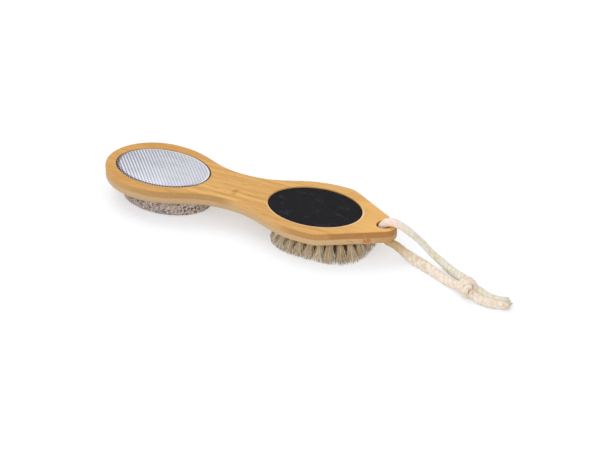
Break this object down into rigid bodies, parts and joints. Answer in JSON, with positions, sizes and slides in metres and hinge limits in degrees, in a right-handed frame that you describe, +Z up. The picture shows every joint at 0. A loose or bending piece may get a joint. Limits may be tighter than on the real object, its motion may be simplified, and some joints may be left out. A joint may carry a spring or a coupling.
{
  "type": "exfoliating foot brush",
  "caption": "Two-lobed bamboo paddle with steel rasp and abrasive pad on top, pumice stone and bristle brush below, and a knotted rope loop through its pointed end.",
  "frame": {"origin": "on the surface that the paddle lies on, under the middle of the handle's length and width", "axes": "+X along the handle from the rear lobe to the pointed end with the rope, +Y across the handle, +Z up from the stone and bristles to the rasp and abrasive pad"},
  "size_m": [0.3367, 0.0692, 0.0307],
  "materials": {
    "bamboo_dark": "golden bamboo, sanded and thinly lacquered",
    "bamboo_pale": "pale bamboo, sanded and thinly lacquered",
    "rasp_steel": "pressed stainless steel with rows of raised teeth",
    "adhesive": "set glue",
    "emery": "black fine abrasive with a soft sheen",
    "foam": "closed-cell foam",
    "pumice": "porous grey-brown pumice",
    "bristle": "natural beige hair",
    "tuft_wire": "drawn wire",
    "cotton_rope": "undyed soft-laid cotton"
  },
  "bodies": {
    "handle": {"bamboo_top_ply": "bamboo_dark", "bamboo_bottom_ply": "bamboo_pale", "steel_rasp_plate": "rasp_steel", "rasp_adhesive_pad": "adhesive", "emery_sheet": "emery", "emery_foam_backing": "foam", "pumice_stone": "pumice", "pumice_glue_bed": "adhesive", "bristle_field": "bristle", "brush_board": "bamboo_pale", "tuft_wire_1": "tuft_wire", "tuft_wire_2": "tuft_wire", "tuft_wire_3": "tuft_wire", "tuft_wire_4": "tuft_wire"},
    "rope_loop": {"rope_upper_strand": "cotton_rope", "rope_lower_strand": "cotton_rope", "rope_knot": "cotton_rope", "rope_tail_front": "cotton_rope", "rope_tail_back": "cotton_rope"}
  },
  "joints": [
    {"name": "rope_loop_swing", "type": "hinge", "parent": "handle", "child": "rope_loop", "pos_m": [0.10805, 0, 0.0192], "axis": [0, 0, 1], "range_deg": [-75, 75]}
  ]
}
